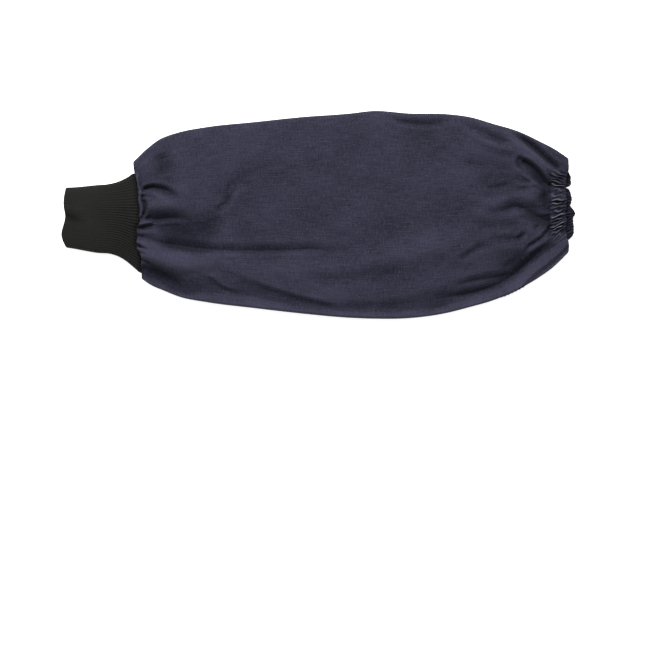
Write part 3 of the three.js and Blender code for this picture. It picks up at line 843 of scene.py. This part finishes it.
def cloth_shell(name, faces, turns, girth, start_rounding, end_rounding):
    """A wall of cloth rolled into a tube from a flat panel.

    It goes out along one face, round the end and back along the other. Its UV map is in metres of flat
    cloth, along and round the sleeve, and its relief is kept for the wear and for the painted shade and
    painted highlights of its colour."""
    outer_places, outer, outer_relief, inner_places, inner, inner_relief = faces

    def loop(out, end, back, start):
        return np.array([*out, *end, *back[::-1], *start, out[0]])

    def held(out, back):
        return loop(out, [out[-1]] * end_rounding, back, [out[0]] * start_rounding)

    end = rounded_end(outer[-1], inner[-1], outer[-2], end_rounding)
    start = rounded_end(inner[0], outer[0], inner[1], start_rounding)
    rows = loop(outer, end, inner, start)
    along = held(outer_places, inner_places) * MM
    relief = held(outer_relief, inner_relief)
    bpy.ops.object.select_all(action="DESELECT")
    long_steps = len(rows) - 1
    round_steps = len(turns) - 1
    bpy.ops.mesh.primitive_grid_add(x_subdivisions=long_steps, y_subdivisions=round_steps, size=1)
    piece = bpy.context.object
    piece.name = name
    mesh = piece.data
    flat = np.empty(len(mesh.vertices) * 3)
    mesh.vertices.foreach_get("co", flat)
    flat = flat.reshape(-1, 3)
    row = np.rint((flat[:, 0] + 0.5) * long_steps).astype(int)
    column = np.rint((flat[:, 1] + 0.5) * round_steps).astype(int)
    mesh.vertices.foreach_set("co", (rows[row, column] * MM).ravel())
    corners = np.empty(len(mesh.loops), dtype=int)
    mesh.loops.foreach_get("vertex_index", corners)
    spots = np.stack([along[row[corners]], turns[column[corners]] * girth], axis=-1)
    mesh.uv_layers.active.data.foreach_set("uv", spots.ravel())
    # The relief colours the cloth: wear, painted shade in its hollows and painted highlights on its crests
    wear_and_painted_light = mesh.attributes.new("wear_and_painted_light", "FLOAT", "POINT")
    wear_and_painted_light.data.foreach_set("value", relief[row, column])
    mesh.update()
    bpy.ops.object.mode_set(mode="EDIT")
    bpy.ops.mesh.select_all(action="SELECT")
    bpy.ops.mesh.remove_doubles(threshold=MERGE_DISTANCE)
    bpy.ops.mesh.normals_make_consistent(inside=False)
    bpy.ops.object.mode_set(mode="OBJECT")
    bpy.ops.object.shade_smooth()
    return piece


def finish_piece(piece, node, material):
    """Puts a finished piece on the frame in the place of its CAD node."""
    piece.data.materials.clear()
    piece.data.materials.append(material)
    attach(piece, "root")
    if node:
        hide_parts(node)


class Value:
    """A shader socket that takes part in Python expressions, each of which adds a Math node."""

    def __init__(self, shader, socket):
        self.shader = shader
        self.socket = socket

    def _math(self, operation, first, second):
        return self.shader.node("ShaderNodeMath", {"operation": operation}, {0: first, 1: second})

    def __add__(self, other):
        return self._math("ADD", self, other)

    def __radd__(self, other):
        return self._math("ADD", other, self)

    def __sub__(self, other):
        return self._math("SUBTRACT", self, other)

    def __rsub__(self, other):
        return self._math("SUBTRACT", other, self)

    def __mul__(self, other):
        return self._math("MULTIPLY", self, other)

    def __rmul__(self, other):
        return self._math("MULTIPLY", other, self)


class Shader:
    """A material's node tree, built from calls instead of by hand."""

    def __init__(self, name):
        self.material = bpy.data.materials.new(name)
        self.material.use_nodes = True
        self.tree = self.material.node_tree
        self.surface = self.tree.nodes["Principled BSDF"]

    def node(self, kind, settings=None, inputs=None, output=0):
        """Adds a node with its settings and its sockets' values or links, and returns an output."""
        made = self.tree.nodes.new(kind)
        for name, setting in (settings or {}).items():
            setattr(made, name, setting)
        for name, value in (inputs or {}).items():
            self._feed(made.inputs[name], value)
        return Value(self, made.outputs[output])

    def _feed(self, socket, value):
        if isinstance(value, Value):
            self.tree.links.new(value.socket, socket)
        else:
            socket.default_value = value

    def finish(self, name, value):
        """Sets or links an input of the surface."""
        self._feed(self.surface.inputs[name], value)

    def noise(self, where, scale, detail=2.0, roughness=0.5):
        """Noise about 0.5, its grains stretched by a scale for each axis."""
        placed = self.node("ShaderNodeMapping", {}, {"Vector": where, "Scale": scale})
        inputs = {"Vector": placed, "Scale": 1.0, "Detail": detail, "Roughness": roughness}
        return self.node("ShaderNodeTexNoise", {"noise_dimensions": "3D"}, inputs)

    def range(self, value, low, high):
        """A value spread from one range over 0 to 1, and held at its ends."""
        inputs = {"Value": value, "From Min": low, "From Max": high}
        return self.node("ShaderNodeMapRange", {"clamp": True}, inputs)

    def stripes(self, where, direction, scale, distortion, fine_scale):
        """Soft stripes from 0 to 1, a little wavy."""
        settings = {"wave_type": "BANDS", "bands_direction": direction, "wave_profile": "SIN"}
        inputs = {
            "Vector": where,
            "Scale": scale,
            "Distortion": distortion,
            "Detail": 1.0,
            "Detail Scale": fine_scale,
        }
        return self.node("ShaderNodeTexWave", settings, inputs, output=1)

    def relief(self):
        """How far folds, gathers or ribs lift the cloth, as the mesh keeps it, with painted shade and
        highlights added in.
        """
        return self.node("ShaderNodeAttribute", {"attribute_name": "wear_and_painted_light"}, output=2)

    def mix(self, factor, first, second):
        """A colour between two colours."""
        inputs = {0: factor, 6: first, 7: second}
        return self.node("ShaderNodeMix", {"data_type": "RGBA"}, inputs, output=2)

    def bump(self, height, distance):
        """Feeds a height in metres to the surface's normal."""
        self.finish("Normal", self.node("ShaderNodeBump", {}, {"Height": height, "Distance": distance}))


def denim_material(name, settings):
    """Navy denim: a fine twill with slubs along and across it, pale flecks, wear with painted highlights on
    the crests, and painted shade in the hollows.
    """
    shader = Shader(name)
    cloth = shader.node("ShaderNodeUVMap", {"uv_map": "UVMap"})
    twill = shader.stripes(cloth, "DIAGONAL", scale=420.0, distortion=2.5, fine_scale=1.5)
    slub = shader.noise(cloth, scale=(70.0, 1000.0, 1.0), detail=3.0, roughness=0.6)
    weft = shader.noise(cloth, scale=(1000.0, 130.0, 1.0), detail=3.0, roughness=0.6)
    grain = shader.noise(cloth, scale=(700.0, 1000.0, 1.0), detail=1.0)
    fleck = shader.range(grain, low=0.6, high=0.8)
    patch = shader.noise(cloth, scale=(26.0, 30.0, 1.0), detail=4.0)
    relief = shader.relief()
    # Painted light: hollows of folds and gathers and the cloth between the hem's crests are painted darker
    # as shade, while crests and the -Y rim are painted paler, for wear and as highlights. The highest
    # crests take the pale colour, for wear and as a painted highlight
    wear_and_painted_light = shader.range(relief, low=-6.0, high=6.0)
    rubbed_and_highlit = shader.range(relief, low=5.5, high=11.0)
    tone = 1.1 * slub + 0.9 * weft + 1.3 * fleck + 0.75 * patch + 0.25 * twill + 1.2 * wear_and_painted_light - 1.74
    dyed = shader.mix(tone, settings.dark, settings.light)
    shader.finish("Base Color", shader.mix(rubbed_and_highlit * (0.4 + 0.9 * slub), dyed, settings.rubbed_and_highlit))
    shader.finish("Roughness", 0.8 + 0.15 * patch)
    shader.finish("Specular IOR Level", 0.1)
    shader.finish("Sheen Weight", 0.015)
    shader.finish("Sheen Roughness", 0.5)
    shader.bump(0.5 * twill + 0.6 * slub + 0.5 * weft, distance=0.00025)
    return shader.material


def rib_material(name, settings):
    """Black rib knit: small loops along each rib and a little fluff, with painted shade in the grooves, the
    crease and where it goes in under the denim.
    """
    shader = Shader(name)
    knit = shader.node("ShaderNodeUVMap", {"uv_map": "UVMap"})
    loops = shader.stripes(knit, "X", scale=230.0, distortion=2.0, fine_scale=2.0)
    fluff = shader.noise(knit, scale=(360.0, 420.0, 1.0), detail=4.0, roughness=0.65)
    patch = shader.noise(knit, scale=(60.0, 60.0, 1.0), detail=3.0)
    # Painted shade: the deeper the relief, the darker the knit
    rib = shader.range(shader.relief(), low=-1.6, high=0.0)
    tone = 0.25 * loops + 1.0 * fluff + 0.6 * patch + 0.9 * rib - 1.05
    shader.finish("Base Color", shader.mix(tone, settings.dark, settings.light))
    shader.finish("Roughness", 0.86 + 0.1 * fluff)
    shader.finish("Specular IOR Level", 0.15)
    shader.finish("Sheen Weight", 0.03)
    shader.finish("Sheen Roughness", 0.5)
    shader.bump(0.7 * loops + 0.4 * fluff, distance=0.0003)
    return shader.material


def thread_material(name, settings):
    """Navy sewing thread with a fine twist."""
    shader = Shader(name)
    where = shader.node("ShaderNodeTexCoord", output=3)
    twist = shader.noise(where, scale=(2500.0, 900.0, 900.0))
    shader.finish("Base Color", shader.mix(twist, settings.dark, settings.light))
    shader.finish("Roughness", 0.6 + 0.2 * twist)
    shader.finish("Specular IOR Level", 0.2)
    shader.bump(twist, distance=0.0001)
    return shader.material


def colour_property(name, description, default):
    """A colour that a user may change."""
    return bpy.props.FloatVectorProperty(
        name=name, description=description, default=default, size=4, subtype="COLOR"
    )


def number_property(name, description, default, unit="NONE"):
    """A number that a user may change, in Blender's own unit where it has one."""
    return bpy.props.FloatProperty(name=name, description=description, default=default, unit=unit)


def count_property(name, description, default, least):
    """A whole number that a user may change."""
    return bpy.props.IntProperty(name=name, description=description, default=default, min=least)


class SleeveBodySettings(bpy.types.PropertyGroup):
    """The denim body."""

    rings: count_property("Rings", "Rings of points along the body", 168, 40)
    around: count_property("Points Round", "Points round the cloth", 420, 60)
    wall: number_property("Wall", "Thickness of the denim", 0.0011, "LENGTH")
    fold_strength: number_property("Folds", "How deep the folds are", 1.0)
    gather_strength: number_property("Gathers", "How deep the gathers are", 1.0)
    dark: colour_property("Dark Yarn", "Colour of the deepest dyed yarn", (0.0098, 0.0095, 0.0171, 1.0))
    light: colour_property("Light Yarn", "Colour of flecks and worn places", (0.0402, 0.0388, 0.0643, 1.0))
    rubbed_and_highlit: colour_property("Rubbed Yarn", "Colour of crests rubbed pale", (0.125, 0.127, 0.146, 1.0))


class KnitCuffSettings(bpy.types.PropertyGroup):
    """The rib-knit cuff."""

    rings: count_property("Rings", "Rings of points along the cuff", 56, 12)
    ribs: count_property("Ribs", "Ribs round the cuff", 66, 12)
    rib_height: number_property("Rib Height", "Height of a rib", 0.0008, "LENGTH")
    wall: number_property("Wall", "Thickness of the doubled knit", 0.0024, "LENGTH")
    dark: colour_property("Dark Yarn", "Colour in the grooves", (0.0032, 0.0034, 0.0030, 1.0))
    light: colour_property("Light Yarn", "Colour of the loops", (0.0107, 0.0112, 0.0100, 1.0))


class ElasticHemSettings(bpy.types.PropertyGroup):
    """The elasticated hem."""

    rings: count_property("Rings", "Rings of points across the hem", 26, 6)
    around: count_property("Points Round", "Points round the hem", 868, 120)
    wall: number_property("Wall", "Thickness of the turned hem with its elastic", 0.0026, "LENGTH")


class SeamStitchSettings(bpy.types.PropertyGroup):
    """The stitches of the side seam."""

    dark: colour_property("Dark Thread", "Colour of the thread in its twist", (0.008, 0.008, 0.012, 1.0))
    light: colour_property("Light Thread", "Colour of the thread on its twist", (0.026, 0.026, 0.036, 1.0))


class StageSettings(bpy.types.PropertyGroup):
    """The floor, the lights and the camera."""

    floor: colour_property("Floor", "Colour of the floor", (0.9, 0.9, 0.9, 1.0))
    floor_glow: number_property("Floor Glow", "Light that the floor gives off", 0.8)
    key: number_property("Key Light", "Power of the large soft light", 212.0, "POWER")
    fill: number_property("Fill", "Strength of the light from all round", 0.35)
    view_width: number_property("View Width", "Width that the camera takes in", 0.5723, "LENGTH")
    camera_height: number_property("Camera Height", "Height of the camera over the floor", 1.9, "LENGTH")


class SleeveSettings(bpy.types.PropertyGroup):
    """All the settings of the sleeve."""

    body: bpy.props.PointerProperty(type=SleeveBodySettings)
    cuff: bpy.props.PointerProperty(type=KnitCuffSettings)
    hem: bpy.props.PointerProperty(type=ElasticHemSettings)
    stitches: bpy.props.PointerProperty(type=SeamStitchSettings)
    stage: bpy.props.PointerProperty(type=StageSettings)


class SLEEVE_OT_body(bpy.types.Operator):
    """Make the denim body, gathered at both ends"""

    bl_idname = "sleeve.body"
    bl_label = "Denim Body"

    def execute(self, context):
        settings = context.scene.sleeve.body
        turns = np.linspace(0, 1, settings.around + 1)
        faces = body_faces(turns, settings)
        piece = cloth_shell("denim_body", faces, turns, PANEL_GIRTH, start_rounding=1, end_rounding=0)
        finish_piece(piece, "sleeve_body", denim_material("navy_denim", settings))
        return {"FINISHED"}


class SLEEVE_OT_cuff(bpy.types.Operator):
    """Make the rib-knit cuff"""

    bl_idname = "sleeve.cuff"
    bl_label = "Knit Cuff"

    def execute(self, context):
        settings = context.scene.sleeve.cuff
        turns = np.linspace(0, 1, settings.ribs * RIB_POINTS + 1)
        faces = cuff_faces(turns, settings)
        piece = cloth_shell("rib_cuff", faces, turns, CUFF_GIRTH, start_rounding=5, end_rounding=1)
        finish_piece(piece, "knit_cuff", rib_material("black_rib_knit", settings))
        return {"FINISHED"}


class SLEEVE_OT_hem(bpy.types.Operator):
    """Make the hem, drawn up by its elastic"""

    bl_idname = "sleeve.hem"
    bl_label = "Elastic Hem"

    def execute(self, context):
        settings = context.scene.sleeve
        turns = np.linspace(0, 1, settings.hem.around + 1)
        faces = hem_faces(turns, settings.hem, settings.body)
        piece = cloth_shell("shirred_hem", faces, turns, PANEL_GIRTH, start_rounding=0, end_rounding=5)
        finish_piece(piece, "elastic_hem", bpy.data.materials["navy_denim"])
        return {"FINISHED"}


class SLEEVE_OT_stitches(bpy.types.Operator):
    """Sew the side seam with two rows of stitches"""

    bl_idname = "sleeve.stitches"
    bl_label = "Seam Stitches"

    def execute(self, context):
        settings = context.scene.sleeve
        first, *others = seam_stitches(settings.body)
        piece = model_stitch()
        piece.name = "seam_stitches"
        for place in others:
            stitch = piece.copy()
            stitch.data = piece.data.copy()
            stitch.matrix_world = place
            context.collection.objects.link(stitch)
            stitch.select_set(True)
        piece.matrix_world = first
        bpy.ops.object.join()
        bpy.ops.object.transform_apply(location=True, rotation=True, scale=True)
        finish_piece(piece, None, thread_material("navy_thread", settings.stitches))
        return {"FINISHED"}


class SLEEVE_OT_stage(bpy.types.Operator):
    """Set up the floor, the lights and the camera"""

    bl_idname = "sleeve.stage"
    bl_label = "Stage"

    def execute(self, context):
        settings = context.scene.sleeve.stage
        self.lay_floor(settings)
        self.hang_lights(context, settings)
        self.aim_camera(context, settings)
        return {"FINISHED"}

    def lay_floor(self, settings):
        bpy.ops.object.select_all(action="DESELECT")
        bpy.ops.mesh.primitive_plane_add(size=FLOOR_SIZE, location=(0, 0, -FLOOR_DROP))
        floor = bpy.context.object
        floor.name = "floor"
        bpy.ops.object.transform_apply(location=True)
        shader = Shader("floor_paper")
        shader.finish("Base Color", settings.floor)
        shader.finish("Roughness", 0.9)
        shader.finish("Specular IOR Level", 0.1)
        shader.finish("Emission Color", WHITE)
        shader.finish("Emission Strength", settings.floor_glow)
        floor.data.materials.append(shader.material)

    def hang_lights(self, context, settings):
        world = bpy.data.worlds.new("studio")
        world.use_nodes = True
        background = world.node_tree.nodes["Background"]
        background.inputs["Color"].default_value = WHITE
        background.inputs["Strength"].default_value = settings.fill
        context.scene.world = world
        bpy.ops.object.light_add(type="AREA", location=KEY_PLACE)
        key = bpy.context.object
        key.name = "key_light"
        key.data.shape = "RECTANGLE"
        key.data.size = KEY_WIDTH
        key.data.size_y = KEY_HEIGHT
        key.data.energy = settings.key
        key.rotation_euler = (-key.location).to_track_quat("-Z", "Y").to_euler()

    def aim_camera(self, context, settings):
        place = (CAMERA_X, CAMERA_Y, settings.camera_height)
        bpy.ops.object.camera_add(location=place, rotation=(0, 0, 0))
        camera = bpy.context.object
        camera.name = "camera"
        camera.data.sensor_width = CAMERA_SENSOR
        camera.data.lens = CAMERA_SENSOR * (settings.camera_height - VIEW_HEIGHT) / settings.view_width
        camera.data.dof.use_dof = False
        context.scene.camera = camera
        context.scene.view_settings.view_transform = "Standard"


class SLEEVE_PT_panel(bpy.types.Panel):
    """The sleeve's pieces and their settings"""

    bl_idname = "SLEEVE_PT_panel"
    bl_label = "Protective Sleeve"
    bl_space_type = "VIEW_3D"
    bl_region_type = "UI"
    bl_category = "Sleeve"

    def draw(self, context):
        settings = context.scene.sleeve
        for group, operator in (
            (settings.stage, SLEEVE_OT_stage),
            (settings.body, SLEEVE_OT_body),
            (settings.cuff, SLEEVE_OT_cuff),
            (settings.hem, SLEEVE_OT_hem),
            (settings.stitches, SLEEVE_OT_stitches),
        ):
            box = self.layout.box()
            box.operator(operator.bl_idname)
            for name in group.__annotations__:
                box.prop(group, name)


CLASSES = (
    SleeveBodySettings,
    KnitCuffSettings,
    ElasticHemSettings,
    SeamStitchSettings,
    StageSettings,
    SleeveSettings,
    SLEEVE_OT_stage,
    SLEEVE_OT_body,
    SLEEVE_OT_cuff,
    SLEEVE_OT_hem,
    SLEEVE_OT_stitches,
    SLEEVE_PT_panel,
)


def register():
    for each in CLASSES:
        bpy.utils.register_class(each)
    bpy.types.Scene.sleeve = bpy.props.PointerProperty(type=SleeveSettings)


def unregister():
    del bpy.types.Scene.sleeve
    for each in reversed(CLASSES):
        bpy.utils.unregister_class(each)


def main():
    register()
    bpy.ops.sleeve.stage()
    bpy.ops.sleeve.body()
    bpy.ops.sleeve.cuff()
    bpy.ops.sleeve.hem()
    bpy.ops.sleeve.stitches()


if __name__ == "__main__":
    main()
